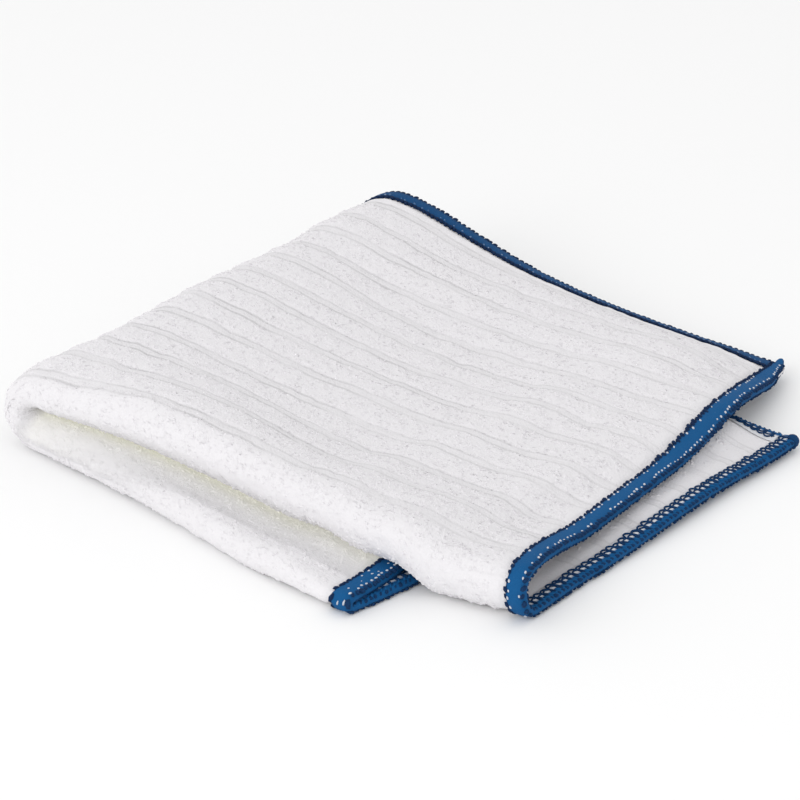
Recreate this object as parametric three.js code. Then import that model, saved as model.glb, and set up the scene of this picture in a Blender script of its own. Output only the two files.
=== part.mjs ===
import * as THREE from "three";

// A ribbed microfibre cloth with an overlocked edge, folded in four and laid down.
// Lengths are millimetres. The flat cloth has s along its ribs and t across them.
// While it is folded, x runs along the front fold from the open corner, and y goes back from it.

// The flat cloth
const ALONG = 320;
const ACROSS = 304;
const THICKNESS = 2.0;
const HEM_THICKNESS = 1.1;
const HEM_COVERED = 5.8;
const HEM_FULL = 7.4;

// The ribs, knitted into both faces
const RIB_PITCH = 12;
const GROOVE_DEPTH = 0.35;
const RIB_SLANT = 2.5;

// The overlocked edge: a band of thread that wraps the hem
const SEAM_THICKNESS = 3.6;
const SEAM_REACH = 5.3;
const SEAM_OUTSIDE = 1.0;
const SEAM_SLOT = 1.2;
const SLOT_OUTSIDE = 0.45;

// The layers at rest, centre to centre, and how much the hems hold them further apart
const LAYER_STEP = 3.25;
const HEM_SPREAD = 0.5;
const HEM_ZONE = 20;
const HEM_BLEND = 14;
const BACK_HEM_FROM = 112;

// The front fold, made first
const FRONT_AT = 133.4;
const FRONT_SLANT = 5.0;
const PUFF_EASE = 34;

// Half the space between the two layers at the front fold, along it from the open corner
const FRONT_FOLD = [
  { x: -320, half: 2.1 },
  { x: -262, half: 3.6 },
  { x: -215, half: 4.5 },
  { x: -178, half: 4.4 },
  { x: -156, half: 4.9 },
  { x: -135, half: 5.5 },
  { x: -98, half: 5.5 },
  { x: -64, half: 5.1 },
  { x: -24, half: 4.8 },
  { x: 0, half: 4.6 },
];

// Where the front fold swells towards the front
const FRONT_SWELLS = [
  { x: -46.4, width: 60.1, depth: 9.5 },
  { x: -293.6, width: 40, depth: 5.0 },
];
const SWELL_REACH = 90;

// The right hem, drawn out of line: how far x moves at the far end of each power of the distance
const HEM_CURVE_REACH = 70;
const UPPER_HEM = { length: 170, first: 5.1, second: 30.4, third: -29.6 };
const LOWER_HEM = { length: 130, first: 12.6, second: -9.5, third: 0 };

// The left fold, made second, through both layers
const LEFT_AT = 181.2;
const LEFT_SLANT = 4.75;
const NOSE_TIP = { radius: 5.9, from: -8, length: 49 };
const NOSE_MIDDLE = 11.2;
const NOSE_BACK = { radius: 12.6, from: 10, length: 118 };
const NOSE_SPREAD = { half: 1.6, reach: 60, from: 20, length: 60 };

// The back hem is stretched back at the left fold, and its upper layers spring up there
const BACK_PULL = { x: -185, width: 80, depth: 8, from: 20, length: 150 };
const BACK_LIFT = { height: 1.3, from: 110, length: 50, reach: 60 };

// How the upper layers come down from the left fold to where they lie on the lower ones
const SETTLE_FRONT = 67;
const SETTLE_BACK = 39.8;
const SETTLE_GROW = 145;
const SETTLE_POWER = 2.05;

// How far past the layers under it a layer takes to come down
const TOP_FALL_BACK = 40;
const TOP_FALL_SIDE = 24.5;
const UNDER_FALL = 16;
const CORNER_FALL = 14;
const FRONT_FALL = { from: -12, length: 14 };

// The thread tails at the two outer corners of the right hem
const TAIL_BACK = [
  { beyond: 1.0, scale: 0.9 },
  { beyond: 3.2, scale: 0.55 },
  { beyond: 5.4, scale: 0.3 },
];
const TAIL_UNDER = [
  { beyond: 1.0, scale: 0.9 },
  { beyond: 2.6, scale: 0.6 },
];
const PLAIN_END = [{ beyond: 1.0, scale: 0.9 }];
const TAIL_CENTRE = 2.0;

// Colours
const CLOTH_WHITE = 0xe9e7ea;
const THREAD_BLUE = 0x1c4f8c;

const RIGHT_ANGLE = Math.PI / 2;
const BEND_ALLOWANCE = RIGHT_ANGLE - 1;
const NORMAL_STEP = 0.2;

const radians = (degrees) => (degrees * Math.PI) / 180;
const clamp = (value, low, high) => Math.min(Math.max(value, low), high);

function smooth(value) {
  const f = clamp(value, 0, 1);
  return f * f * (3 - 2 * f);
}

// A smooth curve through the rows of a table, by the slope between each row's neighbours.
function tableValue(rows, x) {
  const slope = (i) => {
    const a = rows[Math.max(i - 1, 0)];
    const b = rows[Math.min(i + 1, rows.length - 1)];
    return (b.half - a.half) / (b.x - a.x);
  };
  let i = 0;
  while (i < rows.length - 2 && x > rows[i + 1].x) i += 1;
  const low = rows[i];
  const high = rows[i + 1];
  const h = high.x - low.x;
  const f = clamp((x - low.x) / h, 0, 1);
  const f2 = f * f;
  const f3 = f2 * f;
  return (
    (2 * f3 - 3 * f2 + 1) * low.half +
    (f3 - 2 * f2 + f) * h * slope(i) +
    (3 * f2 - 2 * f3) * high.half +
    (f3 - f2) * h * slope(i + 1)
  );
}

const cosFront = Math.cos(radians(FRONT_SLANT));
const sinFront = Math.sin(radians(FRONT_SLANT));
const cosLeft = Math.cos(radians(LEFT_SLANT));
const sinLeft = Math.sin(radians(LEFT_SLANT));

// 1 near a hem of the folded pair, 0 well inside it.
function nearHem(x, v) {
  const right = 1 - smooth((-x - HEM_ZONE) / HEM_BLEND);
  const left = 1 - smooth((x + ALONG - HEM_ZONE) / HEM_BLEND);
  return Math.max(right, left, smooth((v - BACK_HEM_FROM) / HEM_BLEND));
}

// Half the space between the two layers of the pair, v millimetres behind the front fold.
function halfSpace(x, v) {
  const fold = tableValue(FRONT_FOLD, x);
  const beside = 1 - smooth(Math.abs(x + LEFT_AT) / NOSE_SPREAD.reach);
  const nose = NOSE_SPREAD.half * beside * smooth((v - NOSE_SPREAD.from) / NOSE_SPREAD.length);
  const rest = LAYER_STEP / 2 + HEM_SPREAD * nearHem(x, v) + nose;
  const puff = Math.max(fold - rest, 0) * (1 - smooth((v - fold) / PUFF_EASE));
  return { fold, half: rest + puff };
}

// How far a point v behind the front fold is stretched back, beside the left fold.
function backPull(x, v) {
  const beside = Math.exp(-(((x - BACK_PULL.x) / BACK_PULL.width) ** 2));
  return BACK_PULL.depth * beside * smooth((v - BACK_PULL.from) / BACK_PULL.length);
}

// The polynomial that draws the right hem out of line.
function hemCurve(q) {
  const hem = q > 0 ? UPPER_HEM : LOWER_HEM;
  const f = clamp(Math.abs(q) / hem.length, 0, 1.1);
  return hem.first * f + hem.second * f * f + hem.third * f * f * f;
}

function noseRadius(p) {
  const tip = smooth((p - NOSE_TIP.from) / NOSE_TIP.length);
  const back = smooth((p - NOSE_BACK.from) / NOSE_BACK.length);
  return NOSE_TIP.radius + (NOSE_MIDDLE - NOSE_TIP.radius) * tip + (NOSE_BACK.radius - NOSE_MIDDLE) * back;
}

// The first fold: where a point of the flat cloth is along the front fold, behind it, and above it.
function frontFold(s, t) {
  const ds = s - ALONG;
  const dt = t - FRONT_AT;
  const x = ds * cosFront - dt * sinFront;
  const q = ds * sinFront + dt * cosFront;
  const { fold } = halfSpace(x, 0);
  const bending = Math.abs(q) < RIGHT_ANGLE * fold;
  const angle = clamp(q / fold, -RIGHT_ANGLE, RIGHT_ANGLE);
  const v = bending ? fold * (1 - Math.cos(angle)) : Math.abs(q) - BEND_ALLOWANCE * fold;
  const space = halfSpace(x, v).half;
  const w = bending ? fold * Math.sin(angle) : Math.sign(q) * space;
  let swell = 0;
  for (const row of FRONT_SWELLS) {
    swell += row.depth * Math.exp(-(((x - row.x) / row.width) ** 2));
  }
  const moved = x + smooth((x + HEM_CURVE_REACH) / HEM_CURVE_REACH) * hemCurve(q);
  const y = v - swell * (1 - smooth(v / SWELL_REACH)) + backPull(x, v);
  return { x: moved, q, v, w, space, bending, fold, y };
}

// How far a point is round the left fold, and which radius that fold has there.
function leftFold(first) {
  const across = (first.x + LEFT_AT) * cosLeft - first.y * sinLeft;
  const p = (first.x + LEFT_AT) * sinLeft + first.y * cosLeft;
  return { across, p, radius: noseRadius(p) };
}

// Heights of the stack of lower layers under a place of the upper pair.
function lowerStack(a, p, radius, top) {
  const back = a + BEND_ALLOWANCE * radius;
  const x = -LEFT_AT - back * cosLeft + p * sinLeft;
  const y = back * sinLeft + p * cosLeft;
  const v = y - backPull(x, y - backPull(x, y));
  const inside = Math.max(v, 0);
  const { fold, half } = halfSpace(x, inside);
  const q = inside + BEND_ALLOWANCE * fold;
  const front = smooth((v - FRONT_FALL.from) / FRONT_FALL.length);
  const fallBack = top ? TOP_FALL_BACK : UNDER_FALL;
  const fallSide = top ? TOP_FALL_SIDE : UNDER_FALL;
  const bottomS = ALONG + x * cosFront + q * sinFront;
  const bottomT = FRONT_AT - x * sinFront + q * cosFront;
  const innerS = ALONG + x * cosFront - q * sinFront;
  const innerT = FRONT_AT - x * sinFront - q * cosFront;
  const bottomSide = smooth((bottomS + CORNER_FALL) / CORNER_FALL);
  const bottomBack = smooth((ACROSS - bottomT + fallBack) / fallBack);
  const innerSide = smooth((innerS + fallSide) / fallSide);
  const innerBack = smooth((innerT + fallBack) / fallBack);
  const bottom = front * bottomSide * bottomBack;
  const inner = front * innerSide * innerBack;
  const step = LAYER_STEP + 2 * HEM_SPREAD * nearHem(x, inside);
  return step * Math.max(bottom, inner) + 2 * half * inner;
}

// The middle of the folded cloth at a point of the flat cloth.
function folded(s, t) {
  const first = frontFold(s, t);
  const { across, p, radius } = leftFold(first);
  const angle = clamp(across / radius, -RIGHT_ANGLE, RIGHT_ANGLE);
  const turning = Math.abs(across) < RIGHT_ANGLE * radius;
  const a = turning ? radius * (1 - Math.cos(angle)) : Math.abs(across) - BEND_ALLOWANCE * radius;
  const hemLift = ((SEAM_THICKNESS - THICKNESS) / 2) * nearHem(first.x, first.v);
  const floor = THICKNESS / 2 + hemLift;
  const onTop = first.q > 0;
  const lowMiddle = floor + first.space;
  let height;
  let offset = first.w;
  if (turning) {
    height = lowMiddle + radius + (radius + offset) * Math.sin(angle);
  } else if (across < 0) {
    height = lowMiddle - offset;
  } else {
    const width = SETTLE_FRONT + (SETTLE_BACK - SETTLE_FRONT) * smooth((p - 4) / SETTLE_GROW);
    const fall = 1 / (1 + (Math.max(a - radius, 0) / width) ** SETTLE_POWER);
    // Behind the hem of the layer under it, the top layer sinks by that layer's room.
    const underT = FRONT_AT - first.x * sinFront - (first.v + BEND_ALLOWANCE * first.fold) * cosFront;
    const covered = onTop ? smooth((underT + TOP_FALL_BACK) / TOP_FALL_BACK) : 1;
    const space = first.space * (covered + (1 - covered) * fall);
    if (!first.bending) offset = onTop ? space : -first.space;
    const rest = floor + lowerStack(a, p, radius, onTop) + (onTop ? first.space * covered : first.space);
    height = rest + (lowMiddle + 2 * radius - rest) * fall + offset;
  }
  if (across > 0) {
    const sprung = BACK_LIFT.height * smooth((p - BACK_LIFT.from) / BACK_LIFT.length);
    height += (sprung * Math.sin(angle)) / (1 + (a / BACK_LIFT.reach) ** 2);
  }
  const planA = turning ? a - offset * Math.cos(angle) : a;
  return new THREE.Vector3(
    -LEFT_AT + BEND_ALLOWANCE * NOSE_MIDDLE + planA * cosLeft + p * sinLeft,
    -planA * sinLeft + p * cosLeft,
    height,
  );
}

// A point off the middle of the cloth, along its normal there.
function offMiddle(s, t, height) {
  const alongS = folded(s + NORMAL_STEP, t).sub(folded(s - NORMAL_STEP, t));
  const alongT = folded(s, t + NORMAL_STEP).sub(folded(s, t - NORMAL_STEP));
  const normal = alongS.cross(alongT).normalize();
  return folded(s, t).addScaledVector(normal, height);
}

// The ribs fan a little: they follow the hems at the hems, and lean towards the front fold at it.
function ribT(s, rib) {
  const fan = rib < FRONT_AT ? rib / FRONT_AT : (ACROSS - rib) / (ACROSS - FRONT_AT);
  return rib + Math.tan(radians(RIB_SLANT)) * (ALONG - s) * fan;
}

// Columns of the sheet: three to a rib, closer where the front fold crosses them.
function ribColumns() {
  const wide = [0, 0.25, 0.75];
  const close = [0, 0.2, 0.4, 0.6, 0.8];
  const closest = [0, 0.1, 0.2, 0.3, 0.4, 0.5, 0.6, 0.8];
  const closeFrom = 10;
  const closestAt = 12;
  const columns = [0, HEM_COVERED, HEM_FULL];
  for (let rib = 0; rib * RIB_PITCH < ACROSS; rib += 1) {
    const fold = rib === closestAt ? closest : close;
    for (const part of rib < closeFrom || rib > closestAt ? wide : fold) {
      const column = (rib + part) * RIB_PITCH;
      if (column > HEM_FULL + 1 && column < ACROSS - HEM_FULL - 1) columns.push(column);
    }
  }
  columns.push(ACROSS - HEM_FULL, ACROSS - HEM_COVERED, ACROSS);
  return columns;
}

// Rows of the sheet along one column: even round the left fold, then spread to both hems.
const BEND_ROWS = 8;
const LOWER_ROWS = [0.1, 0.3, 0.55, 0.8];
const UPPER_ROWS = [0.06, 0.14, 0.23, 0.34, 0.46, 0.58, 0.68, 0.76, 0.825, 0.885, 0.945];

function rowPlaces(rib) {
  let s = ALONG - LEFT_AT;
  for (let step = 0; step < 6; step += 1) s -= leftFold(frontFold(s, ribT(s, rib))).across;
  const quarter = RIGHT_ANGLE * leftFold(frontFold(s, ribT(s, rib))).radius;
  const low = s - quarter;
  const high = s + quarter;
  const rows = [0, HEM_COVERED, HEM_FULL];
  for (const part of LOWER_ROWS) rows.push(HEM_FULL + (low - HEM_FULL) * part);
  for (let i = 0; i <= BEND_ROWS; i += 1) rows.push(low + ((high - low) * i) / BEND_ROWS);
  for (const part of UPPER_ROWS) rows.push(high + (ALONG - HEM_FULL - high) * part);
  rows.push(ALONG - HEM_FULL, ALONG - HEM_COVERED, ALONG);
  return rows;
}

// Half the sheet's thickness: thin inside the seams, full on a rib, less in a groove.
function halfThickness(s, rib) {
  const inside = Math.min(s, ALONG - s, rib, ACROSS - rib);
  const full = smooth((inside - HEM_COVERED) / (HEM_FULL - HEM_COVERED));
  const phase = Math.abs(rib / RIB_PITCH - Math.round(rib / RIB_PITCH)) * RIB_PITCH;
  const groove = 1 - smooth(phase / (RIB_PITCH / 4));
  const body = THICKNESS / 2 - GROOVE_DEPTH * groove;
  return HEM_THICKNESS / 2 + (body - HEM_THICKNESS / 2) * full;
}

// A closed solid from points and triangles, turned so that its faces look outwards.
function solid(name, points, triangles, colour, slot) {
  let volume = 0;
  const cross = new THREE.Vector3();
  for (const [a, b, c] of triangles) {
    volume += cross.crossVectors(points[b], points[c]).dot(points[a]);
  }
  const index = [];
  for (const [a, b, c] of triangles) index.push(...(volume > 0 ? [a, b, c] : [a, c, b]));
  const geometry = new THREE.BufferGeometry();
  geometry.setAttribute("position", new THREE.Float32BufferAttribute(points.flatMap((p) => p.toArray()), 3));
  geometry.setIndex(index);
  geometry.computeVertexNormals();
  const material = new THREE.MeshStandardMaterial({ color: colour, roughness: 0.95, metalness: 0 });
  material.name = slot;
  const mesh = new THREE.Mesh(geometry, material);
  mesh.name = name;
  return mesh;
}

// The sheet: a grid on each face, joined round the hem.
function clothSheet() {
  const columns = ribColumns();
  const points = [];
  const triangles = [];
  const rowCount = rowPlaces(columns[0]).length;
  const faceSize = columns.length * rowCount;
  for (const side of [1, -1]) {
    for (const rib of columns) {
      for (const s of rowPlaces(rib)) points.push(offMiddle(s, ribT(s, rib), side * halfThickness(s, rib)));
    }
  }
  const at = (face, column, row) => face * faceSize + column * rowCount + row;
  const quad = (a, b, c, d) => triangles.push([a, b, c], [a, c, d]);
  for (let j = 0; j + 1 < columns.length; j += 1) {
    for (let i = 0; i + 1 < rowCount; i += 1) {
      quad(at(0, j, i), at(0, j, i + 1), at(0, j + 1, i + 1), at(0, j + 1, i));
      quad(at(1, j, i), at(1, j + 1, i), at(1, j + 1, i + 1), at(1, j, i + 1));
    }
    quad(at(0, j, 0), at(0, j + 1, 0), at(1, j + 1, 0), at(1, j, 0));
    quad(at(0, j + 1, rowCount - 1), at(0, j, rowCount - 1), at(1, j, rowCount - 1), at(1, j + 1, rowCount - 1));
  }
  for (let i = 0; i + 1 < rowCount; i += 1) {
    quad(at(0, 0, i + 1), at(0, 0, i), at(1, 0, i), at(1, 0, i + 1));
    const last = columns.length - 1;
    quad(at(0, last, i), at(0, last, i + 1), at(1, last, i + 1), at(1, last, i));
  }
  return solid("cloth", points, triangles, CLOTH_WHITE, "cloth");
}

// The band's section: in from the hem's edge, and off the middle of the cloth.
function seamSection() {
  const high = SEAM_THICKNESS / 2;
  const outer = [
    [SEAM_REACH, high * 0.75],
    [SEAM_REACH - 0.8, high],
    [0.6, high],
    [-SEAM_OUTSIDE, high / 2],
  ];
  const inner = [
    [-SLOT_OUTSIDE, -SEAM_SLOT],
    [-SLOT_OUTSIDE, SEAM_SLOT],
  ];
  const under = outer.map(([u, h]) => [u, -h]).reverse();
  return [...outer, ...under, [SEAM_REACH, -SEAM_SLOT], ...inner, [SEAM_REACH, SEAM_SLOT]];
}

// A band of thread along a hem: the section carried through the stations, capped at both ends.
function seam(name, stations, place) {
  const section = seamSection();
  const size = section.length;
  const points = [];
  const triangles = [];
  for (const { at, scale } of stations) {
    for (const [u, h] of section) {
      points.push(place(at, TAIL_CENTRE + (u - TAIL_CENTRE) * scale, h * scale));
    }
  }
  for (let i = 0; i + 1 < stations.length; i += 1) {
    for (let k = 0; k < size; k += 1) {
      const next = (k + 1) % size;
      const a = i * size + k;
      const b = i * size + next;
      triangles.push([a, b, b + size], [a, b + size, a + size]);
    }
  }
  const outline = section.map(([u, h]) => new THREE.Vector2(u, h));
  const end = (stations.length - 1) * size;
  // The section runs clockwise, so its triangles are turned to match the band's sides.
  for (const [a, b, c] of THREE.ShapeUtils.triangulateShape(outline, [])) {
    triangles.push([a, c, b], [end + a, end + b, end + c]);
  }
  return solid(name, points, triangles, THREAD_BLUE, "thread");
}

// Stations along a hem that runs across the ribs, with an end piece past each corner.
function crossStations(s, underEnd, backEnd) {
  const middle = ribColumns().map((rib) => ({ at: ribT(s, rib), scale: 1 }));
  const under = underEnd.map(({ beyond, scale }) => ({ at: -beyond, scale })).reverse();
  const back = backEnd.map(({ beyond, scale }) => ({ at: ACROSS + beyond, scale }));
  return [...under, ...middle, ...back];
}

// Stations along a hem that runs with the ribs, between the two cross hems.
function alongStations(rib) {
  return rowPlaces(rib).slice(1, -1).map((at) => ({ at, scale: 1 }));
}

const group = new THREE.Group();
group.name = "folded_microfibre_cloth";
group.add(clothSheet());
group.add(seam("seam_right", crossStations(ALONG, TAIL_UNDER, TAIL_BACK), (t, u, h) => offMiddle(ALONG - u, t, h)));
group.add(seam("seam_inner", crossStations(0, PLAIN_END, PLAIN_END), (t, u, h) => offMiddle(u, t, h)));
group.add(seam("seam_back", alongStations(ACROSS), (s, u, h) => offMiddle(s, ACROSS - u, h)));
group.add(seam("seam_under", alongStations(0), (s, u, h) => offMiddle(s, u, h)));

// The shared origin is the middle of the bounding box, at its bottom.
const box = new THREE.Box3().setFromObject(group);
const centre = box.getCenter(new THREE.Vector3());
for (const mesh of group.children) mesh.geometry.translate(-centre.x, -centre.y, -box.min.z);

export default group;
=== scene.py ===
import math

import bpy
import numpy as np
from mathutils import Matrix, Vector


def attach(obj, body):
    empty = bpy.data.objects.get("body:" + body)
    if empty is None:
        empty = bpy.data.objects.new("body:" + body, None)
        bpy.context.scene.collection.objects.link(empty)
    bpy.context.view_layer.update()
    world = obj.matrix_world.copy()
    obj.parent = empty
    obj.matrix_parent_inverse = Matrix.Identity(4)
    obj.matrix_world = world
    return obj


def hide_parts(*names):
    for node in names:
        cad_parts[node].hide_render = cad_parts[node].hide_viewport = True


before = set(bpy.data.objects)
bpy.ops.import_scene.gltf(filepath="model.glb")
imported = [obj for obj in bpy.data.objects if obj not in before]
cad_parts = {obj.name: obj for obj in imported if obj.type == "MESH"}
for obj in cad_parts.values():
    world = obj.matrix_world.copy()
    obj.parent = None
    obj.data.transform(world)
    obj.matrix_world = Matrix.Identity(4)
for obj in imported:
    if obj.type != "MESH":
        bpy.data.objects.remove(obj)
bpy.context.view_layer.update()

# A ribbed microfibre cloth with a blue overlocked edge, folded in four.
# The folds are worked out in millimetres, from the sizes of the solids, and meshes are in metres.
MM = 0.001

# The camera, from the photograph's perspective: a long lens, 25 degrees above the surface
CAMERA_AT = (0.3867, -0.5771, 0.3342)
LOOKS_AT = (-0.0189, 0.0177, 0.0)
LENS_MM = 117.0
SENSOR_MM = 36.0

# The flat cloth: s along its ribs, t across them
ALONG = 320.0
ACROSS = 304.0
THICKNESS = 2.0
HEM_THICKNESS = 1.1
HEM_COVERED = 5.8
HEM_FULL = 7.4

# The ribs, knitted into both faces
RIB_PITCH = 12.0
RIB_START = 4.6
RIB_SLANT = 2.5

# The folded cloth: layer spacing and hems
SEAM_THICKNESS = 3.6
LAYER_STEP = 3.25
HEM_SPREAD = 0.5
HEM_ZONE = 20.0
HEM_BLEND = 14.0
BACK_HEM_FROM = 112.0

# The front fold, made first, with half the space between its two layers along it
FRONT_AT = 133.4
FRONT_SLANT = 5.0
PUFF_EASE = 34.0
FRONT_FOLD = {
    "x": (-320.0, -262.0, -215.0, -178.0, -156.0, -135.0, -98.0, -64.0, -24.0, 0.0),
    "half": (2.1, 3.6, 4.5, 4.4, 4.9, 5.5, 5.5, 5.1, 4.8, 4.6),
}
FRONT_SWELLS = (
    {"x": -46.4, "width": 60.1, "depth": 9.5},
    {"x": -293.6, "width": 40.0, "depth": 5.0},
)
SWELL_REACH = 90.0

# The right hem, drawn out of line
HEM_CURVE_REACH = 70.0
UPPER_HEM = {"length": 170.0, "first": 5.1, "second": 30.4, "third": -29.6}
LOWER_HEM = {"length": 130.0, "first": 11.0, "second": -9.5, "third": 0.0}

# The left fold, made second, through both layers
LEFT_AT = 181.2
LEFT_SLANT = 4.75
NOSE_TIP = {"radius": 5.9, "from": -8.0, "length": 49.0}
NOSE_MIDDLE = 11.2
NOSE_BACK = {"radius": 12.6, "from": 10.0, "length": 118.0}
NOSE_SPREAD = {"half": 1.6, "reach": 60.0, "from": 20.0, "length": 60.0}

# The back hem is stretched back at the left fold, and its upper layers spring up there
BACK_PULL = {"x": -185.0, "width": 80.0, "depth": 8.0, "from": 20.0, "length": 150.0}
BACK_LIFT = {"height": 1.3, "from": 110.0, "length": 50.0, "reach": 60.0}

# How the upper layers come down from the left fold
SETTLE_FRONT = 67.0
SETTLE_BACK = 39.8
SETTLE_GROW = 145.0
SETTLE_POWER = 2.05

# How far past the layers under it a layer takes to come down
TOP_FALL_BACK = 40.0
TOP_FALL_SIDE = 24.5
UNDER_FALL = 16.0
CORNER_FALL = 14.0
FRONT_FALL = {"from": -9.0, "length": 12.0}

# The middle of the folded cloth's bounding box, which is the shared origin
CENTRE = np.array((-82.5025, 72.7914, 0.0))

RIGHT_ANGLE = math.pi / 2
BEND_ALLOWANCE = RIGHT_ANGLE - 1
NORMAL_STEP = 0.2

# Soft forms that the solids leave plain: the upper pair sinks onto the lower one behind the left fold,
# the inner hem is pressed together, the lower right corner is drawn forwards, and the left fold outwards
BULGE = {"down": 0.9, "up": 0.1, "after": 4.0, "from": 30.0, "fade": 50.0}
PRESSED = {"share": 0.46, "from": 298.0, "length": 18.0, "drawn": 2.8}
UNDER_CORNER = {"forward": 5.5, "out": 2.0, "reach": 50.0, "from": 85.0, "length": 48.0}
NOSE_REACH = {"out": 2.0, "length": 45.0}

# The grooves between ribs: two lines with a wide dip, pulled flat round the front fold
GROOVE = {"deep": 0.3, "line_at": 1.35, "line_width": 0.62, "dip": 0.5, "dip_width": 1.3}
GROOVE_FLAT = {"from": -30.0, "full": 6.0, "until": 3.0, "gone": 2.5}
GROOVE_FADE = {"left": 1.2, "lost": 0.3, "from": 180.0, "length": 110.0}
CROWN = 0.08
LUMPS = ({"high": 0.08, "length": 4.2, "seed": 21}, {"high": 0.06, "length": 9.0, "seed": 31})

# Where the painted glow and painted yellowish shade go between the folded pairs: how far in front of the pair
# above it starts, and where it fades out towards the back and the right
PAINTED_FOLD_LIGHT_ZONE = {"ahead": 9.0, "length": 21.0, "back": 14.0, "back_fade": 18.0, "side": 105.0, "side_fade": 25.0}

# The ribs from this one on show from above, and have more faces
SHOWN_FROM_RIB = 10

# One tuft of the pile
TUFT = {"long": 0.85, "wide": 0.65, "lean": 0.5, "high": 0.17, "sunk": 0.07}

# The overlocked edge
STITCH = 3.4
SLOT_HALF = 0.75
# Rows of gaps between the threads: how far in from the edge, and the share of them closed up
OPEN_ROWS = ((0.55, 0.25), (4.25, 0.6))
TAIL_CENTRE = 2.0
TAIL_BACK = 4.4
TAIL_LIFT = 2.0
TAIL_UNDER = 2.8
PLAIN_TAIL = 1.0
# How far from the cloth's corners the back and under hems' thread starts and ends
SIDE_IN = 4.4

cos_front = math.cos(math.radians(FRONT_SLANT))
sin_front = math.sin(math.radians(FRONT_SLANT))
cos_left = math.cos(math.radians(LEFT_SLANT))
sin_left = math.sin(math.radians(LEFT_SLANT))


def make_camera():
    """A camera at CAMERA_AT that looks at LOOKS_AT through a LENS_MM lens, level and without shift."""
    data = bpy.data.cameras.new("camera")
    data.lens = LENS_MM
    data.sensor_width = SENSOR_MM
    data.clip_start = 0.05
    data.clip_end = 50.0
    camera = bpy.data.objects.new("camera", data)
    bpy.context.scene.collection.objects.link(camera)
    camera.location = CAMERA_AT
    toward = Vector(LOOKS_AT) - Vector(CAMERA_AT)
    camera.rotation_euler = toward.to_track_quat("-Z", "Y").to_euler()
    bpy.context.scene.camera = camera


def smooth(value):
    """3 f squared less 2 f cubed, with f the value held between 0 and 1."""
    f = np.clip(value, 0.0, 1.0)
    return f * f * (3.0 - 2.0 * f)


def table_value(table, x):
    """A cubic Hermite curve through a table, whose slope at a row is the slope between its neighbours."""
    places = np.array(table["x"])
    values = np.array(table["half"])
    rows = np.arange(len(places))
    before = np.maximum(rows - 1, 0)
    after = np.minimum(rows + 1, len(places) - 1)
    slopes = (values[after] - values[before]) / (places[after] - places[before])
    i = np.clip(np.searchsorted(places, x) - 1, 0, len(places) - 2)
    h = places[i + 1] - places[i]
    f = np.clip((x - places[i]) / h, 0.0, 1.0)
    f2 = f * f
    f3 = f2 * f
    low = (2 * f3 - 3 * f2 + 1) * values[i] + (f3 - 2 * f2 + f) * h * slopes[i]
    high = (3 * f2 - 2 * f3) * values[i + 1] + (f3 - f2) * h * slopes[i + 1]
    return low + high


def waves(a, b, length, seed, count=14):
    """A smooth random field over (a, b): the sum of sine waves of about one length in random directions."""
    random = np.random.default_rng(seed)
    total = np.zeros(np.broadcast(a, b).shape)
    for turn, scale, phase in random.random((count, 3)):
        direction = turn * 2 * math.pi
        number = 2 * math.pi / (length * (0.7 + 0.9 * scale))
        along = a * math.cos(direction) + b * math.sin(direction)
        total += np.sin(number * along + phase * 2 * math.pi)
    return total / math.sqrt(count / 2)


def near_hem(x, v):
    """1 near a hem of the folded pair, easing to 0 inside it."""
    right = 1 - smooth((-x - HEM_ZONE) / HEM_BLEND)
    left = 1 - smooth((x + ALONG - HEM_ZONE) / HEM_BLEND)
    return np.maximum(np.maximum(right, left), smooth((v - BACK_HEM_FROM) / HEM_BLEND))


def half_space(x, v):
    """Half the space between the pair's layers: the fold's own at the fold, easing to the layers' step."""
    fold = table_value(FRONT_FOLD, x)
    beside = 1 - smooth(np.abs(x + LEFT_AT) / NOSE_SPREAD["reach"])
    nose = NOSE_SPREAD["half"] * beside * smooth((v - NOSE_SPREAD["from"]) / NOSE_SPREAD["length"])
    rest = LAYER_STEP / 2 + HEM_SPREAD * near_hem(x, v) + nose
    puff = np.maximum(fold - rest, 0) * (1 - smooth((v - fold) / PUFF_EASE))
    pressed = 1 - PRESSED["share"] * smooth((-x - PRESSED["from"]) / PRESSED["length"])
    return fold * pressed, (rest + puff) * pressed


def back_pull(x, v):
    """How far a point v behind the front fold is stretched back, fading out beside the left fold."""
    beside = np.exp(-(((x - BACK_PULL["x"]) / BACK_PULL["width"]) ** 2))
    return BACK_PULL["depth"] * beside * smooth((v - BACK_PULL["from"]) / BACK_PULL["length"])


def hem_curve(q):
    """A cubic in the distance from the front fold that draws the right hem out of line, for each layer."""
    moved = np.zeros_like(q)
    for hem, chosen in ((UPPER_HEM, q > 0), (LOWER_HEM, q <= 0)):
        f = np.clip(np.abs(q) / hem["length"], 0.0, 1.1)
        cubic = hem["first"] * f + hem["second"] * f ** 2 + hem["third"] * f ** 3
        moved = np.where(chosen, cubic, moved)
    return moved


def nose_radius(p):
    """The left fold's radius, which grows from its tip at the front to its back."""
    tip = smooth((p - NOSE_TIP["from"]) / NOSE_TIP["length"])
    back = smooth((p - NOSE_BACK["from"]) / NOSE_BACK["length"])
    radius = NOSE_TIP["radius"] + (NOSE_MIDDLE - NOSE_TIP["radius"]) * tip
    return radius + (NOSE_BACK["radius"] - NOSE_MIDDLE) * back


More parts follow.
